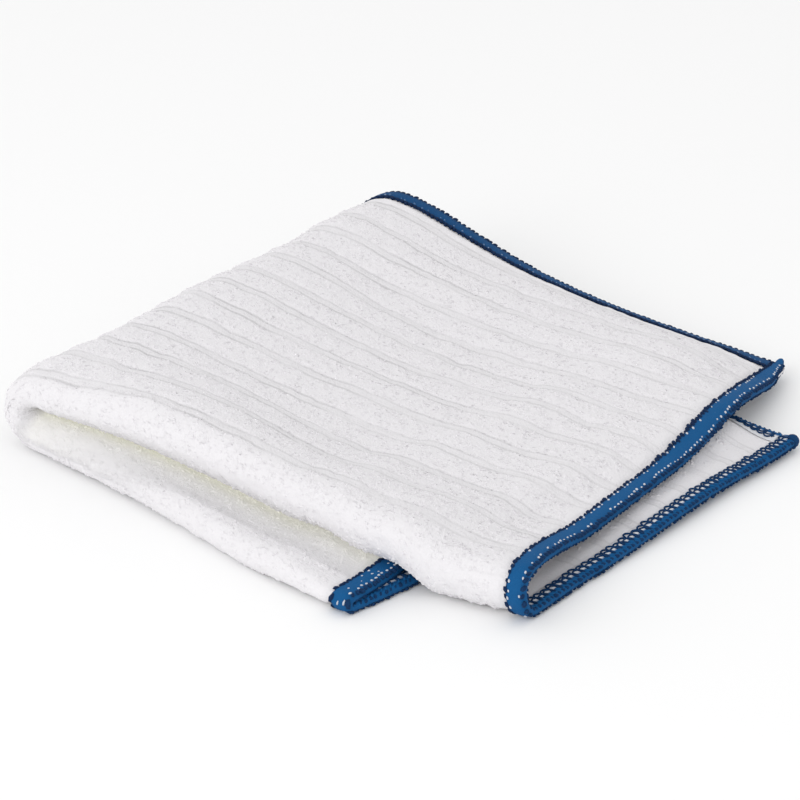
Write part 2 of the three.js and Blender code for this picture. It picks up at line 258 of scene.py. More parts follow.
def front_fold(s, t):
    """The first fold: a half circle round the slanted front line, and two layers behind it."""
    ds = s - ALONG
    dt = t - FRONT_AT
    x = ds * cos_front - dt * sin_front
    q = ds * sin_front + dt * cos_front
    fold = half_space(x, 0.0)[0]
    bending = np.abs(q) < RIGHT_ANGLE * fold
    angle = np.clip(q / fold, -RIGHT_ANGLE, RIGHT_ANGLE)
    v = np.where(bending, fold * (1 - np.cos(angle)), np.abs(q) - BEND_ALLOWANCE * fold)
    space = half_space(x, v)[1]
    w = np.where(bending, fold * np.sin(angle), np.sign(q) * space)
    swell = sum(row["depth"] * np.exp(-(((x - row["x"]) / row["width"]) ** 2)) for row in FRONT_SWELLS)
    moved = x + smooth((x + HEM_CURVE_REACH) / HEM_CURVE_REACH) * hem_curve(q)
    moved = moved - PRESSED["drawn"] * smooth((-x - LEFT_AT - 40.0) / 80.0)
    corner = smooth((x + UNDER_CORNER["reach"]) / UNDER_CORNER["reach"])
    corner = corner * smooth((-q - UNDER_CORNER["from"]) / UNDER_CORNER["length"])
    moved = moved + UNDER_CORNER["out"] * corner
    y = v - swell * (1 - smooth(v / SWELL_REACH)) + back_pull(x, v) - UNDER_CORNER["forward"] * corner
    return {"x": moved, "q": q, "v": v, "w": w, "space": space, "bending": bending, "fold": fold, "y": y}


def lower_stack(a, p, radius, top):
    """Heights of the lower layers under a place of the upper pair, easing to nothing past their edges."""
    back = a + BEND_ALLOWANCE * radius
    x = -LEFT_AT - back * cos_left + p * sin_left
    y = back * sin_left + p * cos_left
    v = y - back_pull(x, y - back_pull(x, y))
    inside = np.maximum(v, 0)
    fold, half = half_space(x, inside)
    q = inside + BEND_ALLOWANCE * fold
    front = smooth((v - FRONT_FALL["from"]) / FRONT_FALL["length"])
    fall_back = np.where(top, TOP_FALL_BACK, UNDER_FALL)
    fall_side = np.where(top, TOP_FALL_SIDE, UNDER_FALL)
    bottom_s = ALONG + x * cos_front + q * sin_front
    bottom_t = FRONT_AT - x * sin_front + q * cos_front
    inner_s = ALONG + x * cos_front - q * sin_front
    inner_t = FRONT_AT - x * sin_front - q * cos_front
    bottom_side = smooth((bottom_s + CORNER_FALL) / CORNER_FALL)
    bottom_back = smooth((ACROSS - bottom_t + fall_back) / fall_back)
    inner_side = smooth((inner_s + fall_side) / fall_side)
    inner_back = smooth((inner_t + fall_back) / fall_back)
    bottom = front * bottom_side * bottom_back
    inner = front * inner_side * inner_back
    step = LAYER_STEP + 2 * HEM_SPREAD * near_hem(x, inside)
    return step * np.maximum(bottom, inner) + 2 * half * inner


def left_fold(first):
    """How far a point of the pair is across the left fold's line, and along it, and the radius there."""
    across = (first["x"] + LEFT_AT) * cos_left - first["y"] * sin_left
    p = (first["x"] + LEFT_AT) * sin_left + first["y"] * cos_left
    return across, p, nose_radius(p)


def folded(s, t):
    """The middle of the cloth: the first fold's pair carried round a second half circle and laid down."""
    first = front_fold(s, t)
    across, p, radius = left_fold(first)
    angle = np.clip(across / radius, -RIGHT_ANGLE, RIGHT_ANGLE)
    turning = np.abs(across) < RIGHT_ANGLE * radius
    a = np.where(turning, radius * (1 - np.cos(angle)), np.abs(across) - BEND_ALLOWANCE * radius)
    floor = THICKNESS / 2 + ((SEAM_THICKNESS - THICKNESS) / 2) * near_hem(first["x"], first["v"])
    on_top = first["q"] > 0
    low_middle = floor + first["space"]
    turned = low_middle + radius + (radius + first["w"]) * np.sin(angle)
    below = low_middle - first["w"]
    width = SETTLE_FRONT + (SETTLE_BACK - SETTLE_FRONT) * smooth((p - 4) / SETTLE_GROW)
    fall = 1 / (1 + (np.maximum(a - radius, 0) / width) ** SETTLE_POWER)
    pair_back = first["v"] + BEND_ALLOWANCE * first["fold"]
    under_t = FRONT_AT - first["x"] * sin_front - pair_back * cos_front
    covered = np.where(on_top, smooth((under_t + TOP_FALL_BACK) / TOP_FALL_BACK), 1.0)
    space = first["space"] * (covered + (1 - covered) * fall)
    laid = np.where(first["bending"], first["w"], np.where(on_top, space, -first["space"]))
    room = np.where(on_top, first["space"] * covered, first["space"])
    rest = floor + lower_stack(a, p, radius, on_top) + room
    opening = (low_middle + 2 * radius - rest) * fall
    bulge = smooth((a - radius) / BULGE["after"])
    bulge = bulge * np.where(first["bending"], np.abs(first["w"]) / first["fold"], 1.0)
    bulge = bulge * (1 - smooth((first["v"] - BULGE["from"]) / BULGE["fade"])) * (first["q"] < 0)
    bulge = bulge * np.maximum(opening, 0)
    above = rest + opening + laid - BULGE["down"] * bulge
    height = np.where(turning, turned, np.where(across < 0, below + BULGE["up"] * bulge, above))
    sprung = BACK_LIFT["height"] * smooth((p - BACK_LIFT["from"]) / BACK_LIFT["length"])
    height += np.where(across > 0, sprung * np.sin(angle) / (1 + (a / BACK_LIFT["reach"]) ** 2), 0.0)
    nose = NOSE_REACH["out"] * (1 - smooth(p / NOSE_REACH["length"]))
    out = np.where((across < 0) | turning, first["w"], laid) + nose
    plan = np.where(turning, a - out * np.cos(angle), a)
    east = -LEFT_AT + BEND_ALLOWANCE * NOSE_MIDDLE + plan * cos_left + p * sin_left
    north = -plan * sin_left + p * cos_left
    return np.stack([east, north, height], axis=-1) - CENTRE


def off_middle(s, t, height):
    """A point off the middle of the cloth, along its normal there."""
    along_s = folded(s + NORMAL_STEP, t) - folded(s - NORMAL_STEP, t)
    along_t = folded(s, t + NORMAL_STEP) - folded(s, t - NORMAL_STEP)
    normal = np.cross(along_s, along_t)
    normal /= np.linalg.norm(normal, axis=-1, keepdims=True)
    return folded(s, t) + normal * np.asarray(height)[..., None]


def rib_lean(s, rib):
    """Where a rib is across the cloth: along the hems at the hems, leaning towards the front fold at it."""
    fan = np.where(rib < FRONT_AT, rib / FRONT_AT, (ACROSS - rib) / (ACROSS - FRONT_AT))
    return rib + math.tan(math.radians(RIB_SLANT)) * (ALONG - s) * fan


def rib_t(s, rib):
    """Where a rib is across the cloth, with the waves that the knit has from use."""
    inside = smooth(np.minimum(rib, ACROSS - rib) / 18.0)
    wander = 0.55 * waves(s * 0.45, rib, 34.0, 3) + 0.18 * waves(s, rib, 12.0, 4)
    return rib_lean(s, rib) + wander * inside


def groove(s, rib):
    """How deep the grooves are: pulled flat round the front fold, and shallower towards the open corner."""
    q = (s - ALONG) * sin_front + (rib_lean(s, rib) - FRONT_AT) * cos_front
    flat = smooth((q - GROOVE_FLAT["from"]) / GROOVE_FLAT["full"])
    flat = flat * (1 - smooth((q - GROOVE_FLAT["until"]) / GROOVE_FLAT["gone"]))
    fade = smooth((s - GROOVE_FADE["from"]) / GROOVE_FADE["length"])
    return (1 - flat) * (GROOVE_FADE["left"] - GROOVE_FADE["lost"] * fade)


def painted_fold_light_mask(s, t, side):
    """How far between the folded pairs a place of the outer face is, 0 in front of the upper one up to 1: the
    mask of the painted glow and painted shade there.
    """
    first = front_fold(s, t)
    across, p, radius = left_fold(first)
    back = np.abs(across) - BEND_ALLOWANCE * radius
    over_x = -LEFT_AT + back * cos_left + p * sin_left
    swell = sum(row["depth"] * np.exp(-(((over_x - row["x"]) / row["width"]) ** 2)) for row in FRONT_SWELLS)
    over = p * cos_left - back * sin_left + swell
    lower = smooth((-across - 3.0) / (1.4 * radius))
    under = over * lower + (first["v"] - PAINTED_FOLD_LIGHT_ZONE["ahead"]) * (1 - lower)
    side_fade = smooth((across - PAINTED_FOLD_LIGHT_ZONE["side"]) / PAINTED_FOLD_LIGHT_ZONE["side_fade"])
    back_fade = smooth((first["v"] - PAINTED_FOLD_LIGHT_ZONE["back"]) / PAINTED_FOLD_LIGHT_ZONE["back_fade"])
    covered = (1 - side_fade) * (1 - back_fade)
    between = covered * smooth((under + PAINTED_FOLD_LIGHT_ZONE["ahead"]) / PAINTED_FOLD_LIGHT_ZONE["length"])
    return np.where((first["q"] < 0) & (side > 0), between, 0.0)


def half_thickness(s, rib, side):
    """Half the sheet's thickness: thin in the seams, full on a rib, a double valley between ribs, lumpy."""
    inside = np.minimum(np.minimum(s, ALONG - s), np.minimum(rib, ACROSS - rib))
    full = smooth((inside - HEM_COVERED) / (HEM_FULL - HEM_COVERED))
    ribs = (rib - RIB_START) / RIB_PITCH
    away = np.abs(ribs - np.round(ribs)) * RIB_PITCH
    deep = groove(s, rib) * np.clip(0.8 + 0.4 * waves(s * 0.7, rib, 24.0, 11 + side), 0.2, 1.5)
    lines = np.exp(-(((away - GROOVE["line_at"]) / GROOVE["line_width"]) ** 2))
    valley = lines + GROOVE["dip"] * np.exp(-((away / GROOVE["dip_width"]) ** 2))
    crown = CROWN * np.cos(math.pi * (away / (RIB_PITCH / 2) - 1))
    lumps = sum(row["high"] * waves(s, rib, row["length"], row["seed"] + side) for row in LUMPS)
    body = THICKNESS / 2 + crown - GROOVE["deep"] * deep * valley + lumps
    return HEM_THICKNESS / 2 + (body - HEM_THICKNESS / 2) * full


def mesh_piece(name, points, faces, material, attributes):
    """A mesh object from points in millimetres and a list of faces, with attributes on its points."""
    mesh = bpy.data.meshes.new(name)
    points[:, 2] = np.maximum(points[:, 2], 0.0)
    mesh.from_pydata(points * MM, [], faces)
    for label, values in attributes.items():
        kind, field = ("FLOAT", "value") if values.ndim == 1 else ("FLOAT_VECTOR", "vector")
        mesh.attributes.new(label, kind, "POINT").data.foreach_set(field, values.astype(np.float32).ravel())
    mesh.polygons.foreach_set("use_smooth", np.ones(len(mesh.polygons), dtype=bool))
    mesh.materials.append(material)
    mesh.update()
    piece = bpy.data.objects.new(name, mesh)
    bpy.context.scene.collection.objects.link(piece)
    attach(piece, "root")
    return piece


def grid_faces(index):
    """Four-cornered faces over a grid of vertex numbers."""
    return np.stack([index[:-1, :-1], index[:-1, 1:], index[1:, 1:], index[1:, :-1]], axis=-1).reshape(-1, 4)


def sheet_columns():
    """Places across the cloth: close in each valley between ribs, closer again where they show from above."""
    close = np.array((0.0, 0.7, 1.35, 2.0, 2.9, 4.3, 6.0, 7.7, 9.1, 10.0, 10.65, 11.3))
    wide = np.array((0.0, 1.35, 2.6, 4.3, 6.0, 7.7, 9.4, 10.65))
    hem = np.array((0.0, 3.0, HEM_COVERED, 6.4, 7.0, 7.7))
    count = int(ACROSS / RIB_PITCH) + 1
    ribs = [RIB_START + n * RIB_PITCH + (close if n >= SHOWN_FROM_RIB else wide) for n in range(count)]
    inner = np.concatenate(ribs)
    inner = inner[(inner > 8.3) & (inner < ACROSS - 8.3)]
    if len(inner) % 2 == 0:
        inner = np.delete(inner, 1)
    return np.concatenate([hem, inner, ACROSS - hem[::-1]])


def sheet_rows():
    """Places along the cloth: 1 mm apart in the top layers, where they show, and 2.2 mm apart below."""
    hem = np.array((0.0, 3.0, HEM_COVERED, 6.4, 7.0, 7.7))
    below = np.linspace(9.5, 118.0, 51)
    above = np.linspace(119.4, ALONG - 9.0, 180)
    return np.concatenate([hem, below, above, ALONG - hem[::-1]])


def join_rims(outer, inner):
    """Three triangles for each step of the inner rim, which has half as many points as the outer one."""
    first = outer[:-1:2]
    middle = outer[1::2]
    last = outer[2::2]
    parts = [
        np.stack([first, inner[:-1], middle], axis=-1),
        np.stack([middle, inner[:-1], inner[1:]], axis=-1),
        np.stack([middle, inner[1:], last], axis=-1),
    ]
    return np.concatenate(parts)


def cloth_sheet(material):
    """The sheet: a fine grid on its outer face, one half as fine on its inner face, joined round the hem."""
    rib, s = np.meshgrid(sheet_columns(), sheet_rows(), indexing="ij")
    t = rib_t(s, rib)
    outer = off_middle(s, t, half_thickness(s, rib, 0))
    inner = off_middle(s[::2, ::2], t[::2, ::2], -half_thickness(s, rib, 1)[::2, ::2])
    outer_index = np.arange(outer[..., 0].size).reshape(s.shape)
    inner_index = outer_index.size + np.arange(inner[..., 0].size).reshape(inner.shape[:2])
    faces = [grid_faces(outer_index)[:, ::-1].tolist(), grid_faces(inner_index).tolist()]
    rims = (
        (outer_index[0], inner_index[0], 1),
        (outer_index[-1], inner_index[-1], -1),
        (outer_index[:, 0], inner_index[:, 0], -1),
        (outer_index[:, -1], inner_index[:, -1], 1),
    )
    for outer_rim, inner_rim, turn in rims:
        faces.append(join_rims(outer_rim, inner_rim)[:, ::turn].tolist())
    points = np.concatenate([outer.reshape(-1, 3), inner.reshape(-1, 3)])
    # The third value is the mask of the painted glow and painted shade between the folded pairs
    place = np.stack([s * MM, rib * MM, painted_fold_light_mask(s, t, 1)], axis=-1)
    inner_place = place[::2, ::2] * np.array((1.0, 1.0, 0.0))
    flat = np.concatenate([place.reshape(-1, 3), inner_place.reshape(-1, 3)])
    deep = groove(s, rib)
    grooves = np.concatenate([deep.ravel(), deep[::2, ::2].ravel()])
    joined = [face for group in faces for face in group]
    attributes = {"flat_place": flat, "groove": grooves}
    return mesh_piece("cloth_sheet", points, joined, material, attributes)


def pile_tufts(name, count, s_span, rib_span, side, seed, material):
    """Tufts of pile on one face: a leaning pyramid for each, at random places off the grooves."""
    random = np.random.default_rng(seed)
    s = random.uniform(*s_span, count)
    number = RIB_START / RIB_PITCH + random.integers(*rib_span, count)
    clear = 0.15 * np.minimum(groove(s, (number + 0.5) * RIB_PITCH), 1.0)
    rib = (number + clear + (1 - 2 * clear) * random.random(count)) * RIB_PITCH
    turn = random.uniform(0.0, 2 * math.pi, count)
    grow = random.uniform(0.7, 1.35, count)
    spin = turn[:, None] + np.arange(3) * 2 * math.pi / 3
    along = np.concatenate([TUFT["long"] * np.cos(spin), TUFT["lean"] * np.cos(3 * turn)[:, None]], axis=1)
    across = np.concatenate([TUFT["wide"] * np.sin(spin), TUFT["lean"] * np.sin(3 * turn)[:, None]], axis=1)
    rise = np.array((-TUFT["sunk"], -TUFT["sunk"], -TUFT["sunk"], TUFT["high"]))
    at_s = s[:, None] + along * grow[:, None]
    at_rib = rib[:, None] + across * grow[:, None]
    at_t = rib_t(at_s, at_rib)
    tall = grow * (1 + 1.7 * random.random(count) ** 5)
    height = half_thickness(at_s, at_rib, (1 - side) // 2) + rise * tall[:, None]
    points = off_middle(at_s, at_t, side * height).reshape(-1, 3)
    corners = np.array(((0, 2, 1), (0, 1, 3), (1, 2, 3), (2, 0, 3)))[:, ::side]
    faces = (corners[None] + 4 * np.arange(count)[:, None, None]).reshape(-1, 3)
    # The third value is the mask of the painted glow and painted shade between the folded pairs
    flat = np.stack([at_s * MM, at_rib * MM, painted_fold_light_mask(at_s, at_t, side)], axis=-1).reshape(-1, 3)
    deep = groove(at_s, at_rib).ravel()
    piece = mesh_piece(name, points, faces.tolist(), material, {"flat_place": flat, "groove": deep})
    piece.data.polygons.foreach_set("use_smooth", np.zeros(len(faces), dtype=bool))
    return piece


# The four hems: where a point along a hem and in from it is on the flat cloth
def right_hem(along, u):
    """The hem at the far end of the ribs."""
    return ALONG - u, along


def inner_hem(along, u):
    """The hem at the near end of the ribs."""
    return u, along


def back_hem(along, u):
    """The hem beside the last rib."""
    return along, ACROSS - u


def under_hem(along, u):
    """The hem beside the first rib."""
    return along, u


def on_hem(hem, along, u, h):
    """A point of the edge band: along the hem, u in from the cloth's edge, and h off the cloth's middle."""
    along, u, h = np.broadcast_arrays(along, u, h)
    s, t = hem(along, u)
    return off_middle(s, t, h)


BAND_SECTION = (
    {"u": 5.3, "h": 0.95, "tone": 0.1},
    {"u": 5.05, "h": 1.3, "tone": 0.2},
    {"u": 4.4, "h": 1.5, "tone": 0.5},
    {"u": 3.2, "h": 1.6, "tone": 0.55},
    {"u": 2.0, "h": 1.62, "tone": 0.55},
    {"u": 0.9, "h": 1.55, "tone": 0.5},
    {"u": 0.0, "h": 1.35, "tone": 0.4},
    {"u": -0.65, "h": 0.9, "tone": 0.4},
    {"u": -0.95, "h": 0.3, "tone": 0.5},
    {"u": -0.95, "h": -0.3, "tone": 0.5},
    {"u": -0.65, "h": -0.9, "tone": 0.5},
    {"u": 0.0, "h": -1.15, "tone": 0.5},
    {"u": 0.9, "h": -1.2, "tone": 0.5},
    {"u": 2.0, "h": -1.25, "tone": 1.0},
    {"u": 3.2, "h": -1.15, "tone": 1.0},
    {"u": 4.4, "h": -0.95, "tone": 1.0},
    {"u": 5.05, "h": -0.85, "tone": 1.0},
    {"u": 5.3, "h": -0.8, "tone": 1.0},
)


def tail_scale(part, tail):
    """A quarter of an ellipse over a tail's length: full where it leaves the cloth, small at its tip."""
    return 0.85 * np.sqrt(np.maximum(1 - (np.abs(part) / (tail * 1.04)) ** 2, 0.0))


def band_stations(low, high, low_tail, high_tail):
    """Places along a hem a third of a stitch apart, and their scale: 1, rounding to a point over a tail."""
    middle = np.arange(low, high, STITCH / 3)
    low_part = -np.linspace(1.0, 0.06, 7) * low_tail if low_tail else np.zeros(0)
    high_part = np.linspace(0.06, 1.0, 7) * high_tail if high_tail else np.zeros(0)
    along = np.concatenate([low + low_part, middle, [high], high + high_part])
    low_scale = tail_scale(low_part, low_tail or 1)
    high_scale = tail_scale(high_part, high_tail or 1)
    scale = np.concatenate([low_scale, np.ones(len(middle) + 1), high_scale])
    return along, scale


def narrowed(along, high_tail):
    """How wide the overlocking is along a hem: full, narrowing over the last stretch before a long tail."""
    if high_tail < TAIL_BACK:
        return np.ones_like(along)
    return 0.88 - 0.36 * smooth((along - (ACROSS - 18.0)) / 18.0)


def edge_band(hem, low, high, low_tail, high_tail):
    """The band round the hem: a C-shaped section carried along the stations, capped at both ends."""
    along, scale = band_stations(low, high, low_tail, high_tail)
    outside = np.array([(row["u"], row["h"]) for row in BAND_SECTION])
    tone = np.array([row["tone"] for row in BAND_SECTION])
    slot_u = np.maximum(outside[::-1, 0], -0.45)
    slot_h = np.clip(outside[::-1, 1], -SLOT_HALF, SLOT_HALF)
    section = np.concatenate([outside, np.stack([slot_u, slot_h], axis=-1)])
    tones = np.concatenate([tone, tone[::-1]])
    wide = (scale * narrowed(along, high_tail))[:, None]
    u = TAIL_CENTRE + (section[None, :, 0] - TAIL_CENTRE) * wide
    bent = TAIL_LIFT * smooth((along - high) / 8.0)[:, None] if high_tail == TAIL_BACK else 0.0
    h = section[None, :, 1] * scale[:, None] + bent
    points = on_hem(hem, along[:, None], u, h)
    count, size = u.shape
    index = np.arange(count * size).reshape(count, size)
    around = np.concatenate([index, index[:, :1]], axis=1)
    sides = grid_faces(around)
    half = size // 2
    pairs = np.arange(half - 1)
    cap = np.stack([pairs, pairs + 1, size - 2 - pairs, size - 1 - pairs], axis=-1)
    faces = np.concatenate([sides, cap[:, ::-1], cap + (count - 1) * size])
    tail = (along < low) | (along > high)
    return points.reshape(-1, 3), faces, np.where(tail[:, None], np.minimum(tones, 0.5), tones).ravel()


def two_triangles(squares):
    """Each four-cornered face as two triangles."""
    return np.concatenate([squares[:, [0, 1, 2]], squares[:, [0, 2, 3]]])


def ball(sides, heights):
    """A closed ball of radius 1: a ring of points at each of the angles above its middle, and two poles."""
    turn = np.arange(sides) * 2 * math.pi / sides
    rise = np.radians(heights)[:, None]
    ring = [np.cos(rise) * np.cos(turn), np.cos(rise) * np.sin(turn), np.sin(rise) + 0 * turn]
    points = np.concatenate([np.stack(ring, axis=-1).reshape(-1, 3), [(0, 0, -1.0), (0, 0, 1.0)]])
    index = np.arange(sides * len(heights)).reshape(len(heights), sides)
    around = np.concatenate([index, index[:, :1]], axis=1)
    pole = np.full(sides, index.size)
    low = np.stack([pole, around[0, 1:], around[0, :-1]], axis=-1)
    high = np.stack([pole + 1, around[-1, :-1], around[-1, 1:]], axis=-1)
    return points, np.concatenate([two_triangles(grid_faces(around)), low, high])


def knots(hem, places, u, row, seed, high_tail=0.0):
    """Knots of thread along a hem: one ball for each place, stretched, slanted and set a little unevenly."""
    random = np.random.default_rng(seed)
    points, faces = ball(6, (-45.0, 0.0, 45.0))
    count = len(places)
    moved = random.normal(0.0, 1.0, (count, 3)) * np.array((0.14, 0.12, 0.06))
    grow = 1 + random.normal(0.0, 0.14, (count, 1))
    wide = narrowed(places, high_tail)
    long, broad, thick = row["size"]
    local_along = points[:, 0] * long * grow + points[:, 1] * row["slant"]
    place = on_hem(
        hem,
        (places + moved[:, 0])[:, None] + local_along,
        (TAIL_CENTRE + (u - TAIL_CENTRE) * wide + moved[:, 1])[:, None] + points[:, 1] * broad * grow,
        (row["h"] + moved[:, 2])[:, None] + points[:, 2] * thick,
    )
    all_faces = faces[None] + (np.arange(count) * len(points))[:, None, None]
    return place.reshape(-1, 3), all_faces.reshape(-1, 3), np.full(count * len(points), row["tone"])


def gaps(low, high, u, closed, seed):
    """The pale gaps between threads: two places for each stitch, with a share of them closed up."""
    random = np.random.default_rng(seed)
    places = np.arange(low, high, STITCH / 2)
    places = places[random.random(len(places)) > closed]
    return places, u + random.normal(0.0, 0.12, len(places))


def thread(hem, along, u, h, radius, tone, sides=5):
    """A thread on a path over a hem: a small circle carried along it, square to it, capped at both ends."""
    path = np.stack([along, u, h], axis=-1)
    ahead = np.gradient(path, axis=0)
    ahead /= np.linalg.norm(ahead, axis=-1, keepdims=True)
    level = np.stack([-ahead[:, 1], ahead[:, 0], np.zeros(len(path))], axis=-1)
    level /= np.maximum(np.linalg.norm(level, axis=-1, keepdims=True), 1e-6)
    upright = np.cross(ahead, level)
    turn = np.arange(sides) * 2 * math.pi / sides
    ring = path[:, None] + radius * (
        level[:, None] * np.cos(turn)[None, :, None] + upright[:, None] * np.sin(turn)[None, :, None]
    )
    points = on_hem(hem, ring[..., 0], ring[..., 1], ring[..., 2])
    index = np.arange(len(path) * sides).reshape(len(path), sides)
    around = np.concatenate([index, index[:, :1]], axis=1)
    fan = np.arange(1, sides - 1)
    start = np.stack([np.zeros_like(fan), fan, fan + 1], axis=-1)
    squares = grid_faces(around)[:, ::-1]
    faces = np.concatenate([two_triangles(squares), start, start[:, ::-1] + index[-1, 0]])
    return points.reshape(-1, 3), faces, np.full(len(path) * sides, tone)


def coil(low, high, near, far, seed):
    """A path of overlapping loops, four for three stitches, between two distances from the edge."""
    along = np.arange(low, high, STITCH / 20)
    turn = 2.7 * math.pi * along / STITCH + 0.7 * waves(along, 0.0, 12.0, seed)
    reach = (far - near) / 2 * (1 + 0.14 * waves(along, 0.0, 5.0, seed + 1))
    return along + 0.75 * np.sin(turn), (near + far) / 2 + reach * np.cos(turn)


def round_end(hem, along, u, radius):
    """A round knot where the overlocking runs off the cloth."""
    points, faces = ball(12, np.linspace(-75.0, 75.0, 7))
    points = points * radius
    place = on_hem(hem, along + points[:, 0], u + points[:, 1], points[:, 2])
    return place, faces, np.full(len(points), 0.2)


# The threads of the overlocked edge, each row with its place in the band and its tone
EDGE_KNOTS = (
    {"shift": 0.0, "u": 5.15, "h": 1.15, "size": (0.66, 0.86, 0.6), "slant": 0.3, "tone": 0.04},
    {"shift": 0.5, "u": -0.3, "h": 1.0, "size": (0.7, 0.92, 0.6), "slant": -0.3, "tone": 0.12},
    {"shift": 0.2, "u": -0.45, "h": -0.7, "size": (0.66, 0.7, 0.55), "slant": 0.3, "tone": 0.14},
)
PALE_GAP = {"h": 1.45, "size": (0.4, 0.36, 0.32), "slant": 0.1, "tone": 0.9}
ROPE = {"shift": 0.9, "u": 0.55, "h": -1.15, "size": (0.5, 0.8, 0.42), "slant": 0.55, "tone": 0.56}
LOOPS = ({"far": 4.1, "h": -1.25, "seed": 7}, {"far": 2.9, "h": -1.35, "seed": 9})
LOOP_NEAR = 0.8
LOOP_THREAD = {"radius": 0.26, "tone": 0.16}


def thread_edge(name, hem, low, high, tails, gap_rows, shade, seed, material):
    """One side's overlocking: the band, knots along its edges, pale gaps, and loops over the inner face, with
    all tones darkened by a given painted shade.
    """
    parts = [edge_band(hem, low, high, *tails)]
    half = np.arange(low + 0.6, high - 0.3, STITCH / 2)
    for number, row in enumerate(EDGE_KNOTS):
        parts.append(knots(hem, half + row["shift"], row["u"], row, seed + number, tails[1]))
    for number, (u, closed) in enumerate(gap_rows):
        places, beside = gaps(low + 1.2 + 0.9 * number, high - 0.8, u, closed, seed + 10 + number)
        parts.append(knots(hem, places, beside, PALE_GAP, seed + 3 + number, tails[1]))
    for loop in LOOPS:
        along, u = coil(low + 0.8, high - 0.8, LOOP_NEAR, loop["far"], seed + loop["seed"])
        height = np.full(len(along), loop["h"])
        parts.append(thread(hem, along, u, height, LOOP_THREAD["radius"], LOOP_THREAD["tone"]))
    parts.append(knots(hem, half + ROPE["shift"], ROPE["u"], ROPE, seed + 8, tails[1]))
    if tails[0] > PLAIN_TAIL:
        parts.append(round_end(hem, low - 0.4, 0.8, 2.1))
    points, faces, tones = [], [], []
    start = 0
    for part_points, part_faces, part_tones in parts:
        points.append(part_points)
        faces += (part_faces + start).tolist()
        tones.append(part_tones)
        start += len(part_points)
    tone = np.concatenate(tones)
    return mesh_piece(name, np.concatenate(points), faces, material, {"tone": tone - shade})


# Materials
def math_node(tree, operation, first, second=None, third=None):
    """A Math node fed by sockets or numbers, which gives its output socket."""
    node = tree.nodes.new("ShaderNodeMath")
    node.operation = operation
    for socket, value in zip(node.inputs, (first, second, third)):
        if value is None:
            continue
        if isinstance(value, (int, float)):
            socket.default_value = value
        else:
            tree.links.new(value, socket)
    return node.outputs[0]


def fading(tree, distance, reach):
    """1 at no distance, easing to 0 at the reach."""
    share = math_node(tree, "DIVIDE", distance, reach)
    return math_node(tree, "SUBTRACT", 1.0, math_node(tree, "SMOOTH_MIN", share, 1.0, 0.3))


def new_group(name, inputs, outputs):
    """A shader node group with named inputs and outputs, each a pair of its name and its kind."""
    group = bpy.data.node_groups.new(name, "ShaderNodeTree")
    for label, kind in inputs:
        group.interface.new_socket(name=label, in_out="INPUT", socket_type=kind)
    for label, kind in outputs:
        group.interface.new_socket(name=label, in_out="OUTPUT", socket_type=kind)
    entry = group.nodes.new("NodeGroupInput")
    leaving = group.nodes.new("NodeGroupOutput")
    return group, entry, leaving


def soft_pile_group():
    """Loops of pile: fine noise for the loops and coarser noise for where they lie flatter."""
    group, entry, leaving = new_group(
        "soft_pile",
        (("Place", "NodeSocketVector"), ("Loops Per Metre", "NodeSocketFloat")),
        (("Height", "NodeSocketFloat"), ("Shade", "NodeSocketFloat")),
    )
    fine = group.nodes.new("ShaderNodeTexNoise")
    fine.inputs["Detail"].default_value = 2.5
    fine.inputs["Roughness"].default_value = 0.6
    group.links.new(entry.outputs["Place"], fine.inputs["Vector"])
    group.links.new(entry.outputs["Loops Per Metre"], fine.inputs["Scale"])
    coarse = group.nodes.new("ShaderNodeTexNoise")
    coarse.inputs["Detail"].default_value = 2.0
    group.links.new(entry.outputs["Place"], coarse.inputs["Vector"])
    quarter = math_node(group, "MULTIPLY", entry.outputs["Loops Per Metre"], 0.2)
    group.links.new(quarter, coarse.inputs["Scale"])
    height = math_node(group, "MULTIPLY_ADD", coarse.outputs["Fac"], 0.6, fine.outputs["Fac"])
    group.links.new(height, leaving.inputs["Height"])
    flatter = math_node(group, "MULTIPLY", coarse.outputs["Fac"], 0.3)
    shade = math_node(group, "MULTIPLY_ADD", fine.outputs["Fac"], 0.7, flatter)
    group.links.new(shade, leaving.inputs["Shade"])
    return group


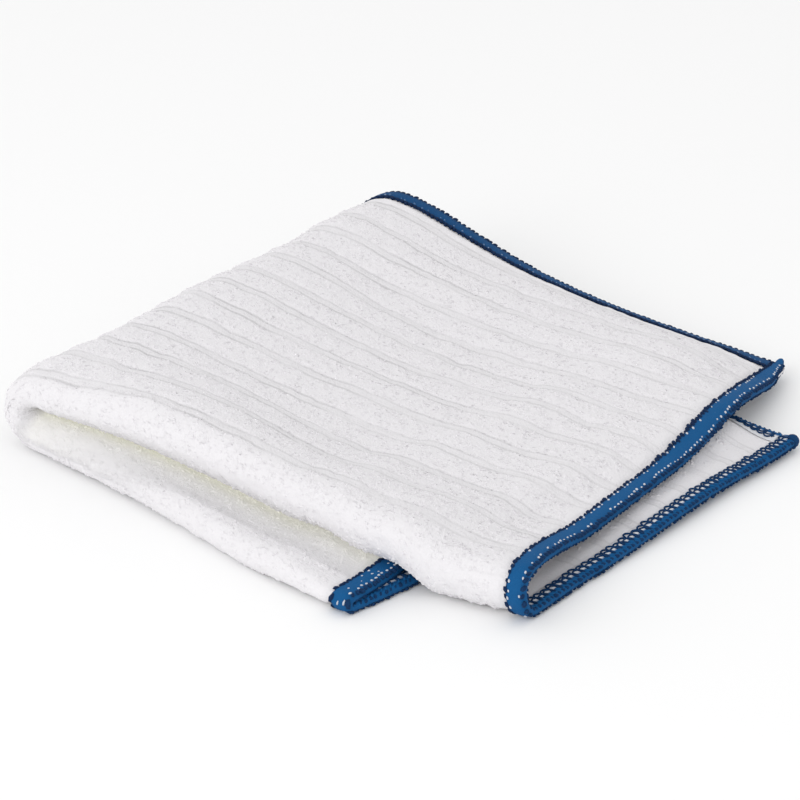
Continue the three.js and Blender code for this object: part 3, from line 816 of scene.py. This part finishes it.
def rib_group():
    """Ribs: how near a place is to the double line between two ribs, 0 to 1, stronger and weaker here and
    there.
    """
    group, entry, leaving = new_group(
        "knit_ribs",
        (("Across", "NodeSocketFloat"), ("Along", "NodeSocketFloat"), ("Deep", "NodeSocketFloat")),
        (("Line", "NodeSocketFloat"), ("Valley", "NodeSocketFloat"), ("Stitch", "NodeSocketFloat")),
    )
    past_first = math_node(group, "SUBTRACT", entry.outputs["Across"], RIB_START * MM)
    turns = math_node(group, "DIVIDE", past_first, RIB_PITCH * MM)
    away = math_node(group, "MULTIPLY", math_node(group, "PINGPONG", turns, 0.5), RIB_PITCH)
    beside = math_node(group, "ABSOLUTE", math_node(group, "SUBTRACT", away, 1.3))
    line = fading(group, beside, 0.55)
    patch = group.nodes.new("ShaderNodeCombineXYZ")
    group.links.new(math_node(group, "MULTIPLY", entry.outputs["Along"], 45.0), patch.inputs["X"])
    group.links.new(math_node(group, "MULTIPLY", entry.outputs["Across"], 160.0), patch.inputs["Y"])
    broken = group.nodes.new("ShaderNodeTexNoise")
    broken.inputs["Scale"].default_value = 1.0
    broken.inputs["Detail"].default_value = 2.0
    group.links.new(patch.outputs["Vector"], broken.inputs["Vector"])
    patchy_lines = math_node(group, "MULTIPLY_ADD", broken.outputs["Fac"], 3.2, -0.75)
    patchy_lines = math_node(group, "MINIMUM", math_node(group, "MAXIMUM", patchy_lines, 0.3), 1.3)
    line = math_node(group, "MULTIPLY", math_node(group, "MULTIPLY", line, patchy_lines), entry.outputs["Deep"])
    group.links.new(line, leaving.inputs["Line"])
    valley = fading(group, away, 2.6)
    valley = math_node(group, "MULTIPLY", valley, entry.outputs["Deep"])
    group.links.new(valley, leaving.inputs["Valley"])
    step = math_node(group, "MULTIPLY", entry.outputs["Along"], 2 * math.pi / 0.0016)
    dots = math_node(group, "MULTIPLY_ADD", math_node(group, "SINE", step), 0.5, 0.5)
    aside = math_node(group, "MINIMUM", math_node(group, "DIVIDE", away, 0.5), 1.0)
    middle = math_node(group, "SUBTRACT", 1.0, aside)
    dots = math_node(group, "MULTIPLY", dots, entry.outputs["Deep"])
    group.links.new(math_node(group, "MULTIPLY", dots, middle), leaving.inputs["Stitch"])
    return group


def cloth_material(pile, ribs):
    """White microfibre: pile, painted shade as thin greyer lines between the ribs, and between the folds a
    painted yellowish shade and a painted glow in place of light let through.
    """
    material = bpy.data.materials.new("white_microfibre")
    material.use_nodes = True
    tree = material.node_tree
    shader = tree.nodes["Principled BSDF"]
    shader.inputs["Roughness"].default_value = 0.95
    shader.inputs["Sheen Weight"].default_value = 0.25
    shader.inputs["Sheen Roughness"].default_value = 0.6
    shader.inputs["Specular IOR Level"].default_value = 0.15
    flat = tree.nodes.new("ShaderNodeAttribute")
    flat.attribute_name = "flat_place"
    place = tree.nodes.new("ShaderNodeSeparateXYZ")
    tree.links.new(flat.outputs["Vector"], place.inputs["Vector"])
    loops = tree.nodes.new("ShaderNodeGroup")
    loops.node_tree = pile
    loops.inputs["Loops Per Metre"].default_value = 1500.0
    tree.links.new(flat.outputs["Vector"], loops.inputs["Place"])
    knit = tree.nodes.new("ShaderNodeGroup")
    knit.node_tree = ribs
    tree.links.new(place.outputs["X"], knit.inputs["Along"])
    tree.links.new(place.outputs["Y"], knit.inputs["Across"])
    deep = tree.nodes.new("ShaderNodeAttribute")
    deep.attribute_name = "groove"
    tree.links.new(deep.outputs["Fac"], knit.inputs["Deep"])
    # Painted shade: the colour is darker on the lines and in the valleys between the ribs
    painted_groove_shade = math_node(tree, "MULTIPLY", knit.outputs["Line"], 0.2)
    painted_groove_shade = math_node(tree, "MULTIPLY_ADD", knit.outputs["Valley"], 0.07, painted_groove_shade)
    mottle = math_node(tree, "SUBTRACT", loops.outputs["Shade"], 0.5)
    level = math_node(tree, "MULTIPLY_ADD", mottle, 0.24, math_node(tree, "SUBTRACT", 1.0, painted_groove_shade))
    colour = tree.nodes.new("ShaderNodeMix")
    colour.data_type = "RGBA"
    colour.inputs["A"].default_value = (0.30, 0.295, 0.30, 1)
    colour.inputs["B"].default_value = (0.755, 0.74, 0.76, 1)
    tree.links.new(level, colour.inputs["Factor"])
    # Painted shade: a yellowish darkening of the colour between the folded pairs
    painted_gap_shade = tree.nodes.new("ShaderNodeMix")
    painted_gap_shade.data_type = "RGBA"
    painted_gap_shade.blend_type = "MULTIPLY"
    painted_gap_shade.inputs["B"].default_value = (1.0, 1.0, 0.72, 1)
    deeper = math_node(tree, "POWER", place.outputs["Z"], 2.5)
    tree.links.new(deeper, painted_gap_shade.inputs["Factor"])
    tree.links.new(colour.outputs["Result"], painted_gap_shade.inputs["A"])
    tree.links.new(painted_gap_shade.outputs["Result"], shader.inputs["Base Color"])
    # Painted light: a weak glow between the folded pairs, standing in for light let through the layers
    shader.inputs["Emission Strength"].default_value = 1.0
    through = tree.nodes.new("ShaderNodeMix")
    through.data_type = "RGBA"
    through.inputs["A"].default_value = (0, 0, 0, 1)
    through.inputs["B"].default_value = (0.36, 0.36, 0.31, 1)
    tree.links.new(math_node(tree, "POWER", place.outputs["Z"], 0.8), through.inputs["Factor"])
    tree.links.new(through.outputs["Result"], shader.inputs["Emission Color"])
    bump = tree.nodes.new("ShaderNodeBump")
    bump.inputs["Strength"].default_value = 0.55
    bump.inputs["Distance"].default_value = 0.0006
    relief = math_node(tree, "MULTIPLY_ADD", knit.outputs["Line"], -0.5, loops.outputs["Height"])
    relief = math_node(tree, "MULTIPLY_ADD", knit.outputs["Stitch"], 0.35, relief)
    tree.links.new(relief, bump.inputs["Height"])
    tree.links.new(bump.outputs["Normal"], shader.inputs["Normal"])
    return material


def thread_material(pile):
    """Blue textured thread: its tone attribute goes from navy knots over satin blue to pale gaps."""
    material = bpy.data.materials.new("blue_thread")
    material.use_nodes = True
    tree = material.node_tree
    shader = tree.nodes["Principled BSDF"]
    shader.inputs["Roughness"].default_value = 0.75
    shader.inputs["Specular IOR Level"].default_value = 0.15
    tone = tree.nodes.new("ShaderNodeAttribute")
    tone.attribute_name = "tone"
    ramp = tree.nodes.new("ShaderNodeValToRGB")
    ramp.color_ramp.elements[0].position = 0.05
    ramp.color_ramp.elements[0].color = (0.004, 0.018, 0.062, 1)
    ramp.color_ramp.elements[1].position = 0.95
    ramp.color_ramp.elements[1].color = (0.66, 0.67, 0.7, 1)
    satin = ramp.color_ramp.elements.new(0.45)
    satin.color = (0.004, 0.078, 0.225, 1)
    deep = ramp.color_ramp.elements.new(0.62)
    deep.color = (0.005, 0.09, 0.25, 1)
    place = tree.nodes.new("ShaderNodeTexCoord")
    fibres = tree.nodes.new("ShaderNodeGroup")
    fibres.node_tree = pile
    fibres.inputs["Loops Per Metre"].default_value = 2600.0
    tree.links.new(place.outputs["Object"], fibres.inputs["Place"])
    uneven = math_node(tree, "SUBTRACT", fibres.outputs["Shade"], 0.5)
    varied = math_node(tree, "MULTIPLY_ADD", uneven, 0.5, tone.outputs["Fac"])
    tree.links.new(varied, ramp.inputs["Fac"])
    tree.links.new(ramp.outputs["Color"], shader.inputs["Base Color"])
    bump = tree.nodes.new("ShaderNodeBump")
    bump.inputs["Strength"].default_value = 0.5
    bump.inputs["Distance"].default_value = 0.0003
    tree.links.new(fibres.outputs["Height"], bump.inputs["Height"])
    tree.links.new(bump.outputs["Normal"], shader.inputs["Normal"])
    return material


def make_floor():
    """A plain pale floor, wide enough to fill the view."""
    mesh = bpy.data.meshes.new("floor")
    reach = 4.0
    corners = [(-reach, -reach, 0), (reach, -reach, 0), (reach, reach, 0), (-reach, reach, 0)]
    mesh.from_pydata(corners, [], [(0, 1, 2, 3)])
    material = bpy.data.materials.new("pale_floor")
    material.use_nodes = True
    material.node_tree.nodes["Principled BSDF"].inputs["Base Color"].default_value = (0.93, 0.93, 0.93, 1)
    material.node_tree.nodes["Principled BSDF"].inputs["Roughness"].default_value = 0.9
    mesh.materials.append(material)
    floor = bpy.data.objects.new("floor", mesh)
    bpy.context.scene.collection.objects.link(floor)


def area_light(name, place, target, size, power):
    """A square soft light at a place, turned towards a target."""
    data = bpy.data.lights.new(name, "AREA")
    data.size = size
    data.energy = power
    light = bpy.data.objects.new(name, data)
    bpy.context.scene.collection.objects.link(light)
    light.location = place
    light.rotation_euler = (Vector(target) - Vector(place)).to_track_quat("-Z", "Y").to_euler()


def make_lights():
    """A bright even surround, and one weak soft light from the front."""
    world = bpy.data.worlds.new("studio")
    bpy.context.scene.world = world
    world.use_nodes = True
    world.node_tree.nodes["Background"].inputs["Color"].default_value = (1, 1, 1, 1)
    world.node_tree.nodes["Background"].inputs["Strength"].default_value = 0.93
    area_light("key", (0.0, -1.6, 0.85), (0.0, 0.0, 0.0), 0.9, 10.0)


make_camera()
bpy.context.scene.view_settings.view_transform = "Standard"
make_lights()
make_floor()

pile = soft_pile_group()
white = cloth_material(pile, rib_group())
blue = thread_material(pile)

sheet = cloth_sheet(white)
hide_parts("cloth")
piles = [
    pile_tufts("pile_top", 46000, (112.0, 311.0), (1, 24), 1, 51, white),
    pile_tufts("pile_under", 24000, (9.0, 120.0), (1, 24), 1, 52, white),
    pile_tufts("pile_inside", 24000, (9.0, 311.0), (1, 24), -1, 53, white),
]
right_tails = (TAIL_UNDER, TAIL_BACK)
right = thread_edge("thread_right", right_hem, 0.0, ACROSS, right_tails, OPEN_ROWS, 0.0, 100, blue)
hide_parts("seam_right")
inner_tails = (PLAIN_TAIL, PLAIN_TAIL)
inner_rows = (*OPEN_ROWS, (2.3, 0.5))
inner = thread_edge("thread_inner", inner_hem, 0.0, ACROSS, inner_tails, inner_rows, 0.0, 200, blue)
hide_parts("seam_inner")
no_tails = (0.0, 0.0)
back_rows = ((4.2, 0.4),)
# The back hem's thread gets a painted shade: all its tones 0.22 darker, for the side that lies in shade
back = thread_edge("thread_back", back_hem, SIDE_IN, ALONG - SIDE_IN, no_tails, back_rows, 0.22, 300, blue)
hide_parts("seam_back")
under = thread_edge("thread_under", under_hem, SIDE_IN, ALONG - SIDE_IN, no_tails, OPEN_ROWS, 0.0, 400, blue)
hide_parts("seam_under")
